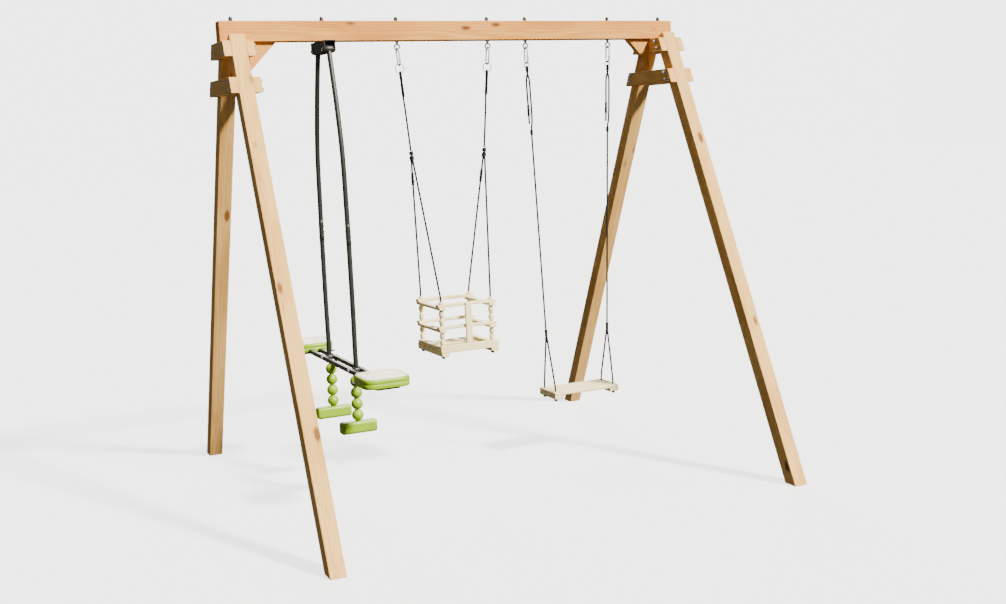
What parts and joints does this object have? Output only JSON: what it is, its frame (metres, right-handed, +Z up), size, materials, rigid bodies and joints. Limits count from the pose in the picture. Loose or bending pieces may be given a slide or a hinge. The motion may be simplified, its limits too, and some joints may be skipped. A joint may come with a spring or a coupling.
{
  "type": "swing set",
  "caption": "Timber A-frame swing set with a face-to-face glider, a baby swing and a plank swing hanging from a square-sawn top beam.",
  "frame": {"origin": "middle of the plan at ground level", "axes": "+X along the top beam towards the plank swing, +Y towards the back, +Z up"},
  "size_m": [2.732, 2.5802, 2.565],
  "materials": {
    "beam_wood": "satin",
    "leg_wood": "satin",
    "pale_wood": "satin",
    "zinc": "satin",
    "black_metal": "satin",
    "rope": "matte",
    "seat_plastic": "satin",
    "lime_plastic": "satin",
    "black_plastic": "satin"
  },
  "bodies": {
    "frame": {"top_beam": "beam_wood", "leg_front_left": "leg_wood", "leg_back_left": "leg_wood", "brace_upper_inner_left": "leg_wood", "brace_upper_outer_left": "leg_wood", "brace_lower_inner_left": "leg_wood", "brace_lower_outer_left": "leg_wood", "leg_front_right": "leg_wood", "leg_back_right": "leg_wood", "brace_upper_inner_right": "leg_wood", "brace_upper_outer_right": "leg_wood", "brace_lower_inner_right": "leg_wood", "brace_lower_outer_right": "leg_wood", "knee_blocks": "beam_wood", "saddle_blocks": "beam_wood", "brace_bolts": "zinc", "brace_nuts": "zinc", "beam_bolts": "zinc", "beam_nuts": "zinc", "knee_screws": "zinc", "eye_bolts": "zinc", "glider_bracket": "black_metal", "glider_top_pins": "zinc"},
    "glider_front_arm": {"glider_arm_front": "black_metal"},
    "glider_rear_arm": {"glider_arm_rear": "black_metal"},
    "glider_seats": {"glider_rails": "black_metal", "glider_lower_pins": "zinc", "glider_seat_front": "seat_plastic", "glider_seat_rear": "seat_plastic", "glider_seat_plates": "black_metal", "glider_seat_screws": "zinc", "glider_footrest_posts": "lime_plastic", "glider_footrest_bars": "lime_plastic"},
    "baby_lines": {"baby_carabiners": "zinc", "baby_rings": "zinc", "baby_line_left": "rope", "baby_line_right": "rope", "baby_rope_fittings": "black_plastic"},
    "baby_seat": {"baby_cord_left": "rope", "baby_cord_right": "rope", "baby_end_fittings": "black_plastic", "baby_rails": "pale_wood", "baby_beads": "pale_wood", "baby_base": "pale_wood"},
    "plank_lines": {"plank_carabiners": "zinc", "plank_rings": "zinc", "plank_line_left": "rope", "plank_line_right": "rope", "plank_rope_fittings": "black_plastic"},
    "plank_seat_body": {"plank_cord_left": "rope", "plank_cord_right": "rope", "plank_seat": "pale_wood", "plank_battens": "pale_wood", "plank_end_knots": "black_plastic"},
    "baby_gate_left_body": {"baby_gate_left": "zinc"},
    "baby_gate_right_body": {"baby_gate_right": "zinc"},
    "plank_gate_left_body": {"plank_gate_left": "zinc"},
    "plank_gate_right_body": {"plank_gate_right": "zinc"}
  },
  "joints": [
    {"name": "glider_front_arm_hinge", "type": "hinge", "parent": "frame", "child": "glider_front_arm", "pos_m": [-0.8, -0.095, 2.39], "axis": [1, 0, 0], "range_deg": [-20, 20]},
    {"name": "glider_rear_arm_hinge", "type": "hinge", "parent": "frame", "child": "glider_rear_arm", "pos_m": [-0.8, 0.095, 2.39], "axis": [1, 0, 0], "range_deg": [-20, 20]},
    {"name": "glider_seat_frame_hinge", "type": "hinge", "parent": "glider_front_arm", "child": "glider_seats", "pos_m": [-0.8, -0.235, 0.714], "axis": [1, 0, 0], "range_deg": [-8.1, 8.1]},
    {"name": "baby_swing_hinge", "type": "hinge", "parent": "frame", "child": "baby_lines", "pos_m": [-0.115, 0, 2.389], "axis": [1, 0, 0], "range_deg": [-50, 50]},
    {"name": "baby_seat_tip", "type": "hinge", "parent": "baby_lines", "child": "baby_seat", "pos_m": [-0.115, 0, 1.8], "axis": [1, 0, 0], "range_deg": [-12, 12]},
    {"name": "plank_swing_hinge", "type": "hinge", "parent": "frame", "child": "plank_lines", "pos_m": [0.661, 0, 2.389], "axis": [1, 0, 0], "range_deg": [-50, 50]},
    {"name": "plank_seat_tip", "type": "hinge", "parent": "plank_lines", "child": "plank_seat_body", "pos_m": [0.661, 0, 0.7], "axis": [1, 0, 0], "range_deg": [-15, 15]},
    {"name": "baby_gate_left_hinge", "type": "hinge", "parent": "baby_lines", "child": "baby_gate_left_body", "pos_m": [-0.38028, -0.018, 2.33551], "axis": [-0.9961, 0, -0.088], "range_deg": [0, 20], "stiffness_Nm_per_rad": 0.2},
    {"name": "baby_gate_right_hinge", "type": "hinge", "parent": "baby_lines", "child": "baby_gate_right_body", "pos_m": [0.15028, -0.018, 2.33551], "axis": [-0.9961, 0, 0.088], "range_deg": [0, 20], "stiffness_Nm_per_rad": 0.2},
    {"name": "plank_gate_left_hinge", "type": "hinge", "parent": "plank_lines", "child": "plank_gate_left_body", "pos_m": [0.39402, -0.018, 2.33534], "axis": [-0.9993, 0, -0.0377], "range_deg": [0, 20], "stiffness_Nm_per_rad": 0.2},
    {"name": "plank_gate_right_hinge", "type": "hinge", "parent": "plank_lines", "child": "plank_gate_right_body", "pos_m": [0.92798, -0.018, 2.33534], "axis": [-0.9993, 0, 0.0377], "range_deg": [0, 20], "stiffness_Nm_per_rad": 0.2}
  ],
  "couplings": [
    {"joint": "glider_rear_arm_hinge", "follows": "glider_front_arm_hinge", "ratio": 1},
    {"joint": "glider_seat_frame_hinge", "follows": "glider_front_arm_hinge", "ratio": -0.404}
  ]
}
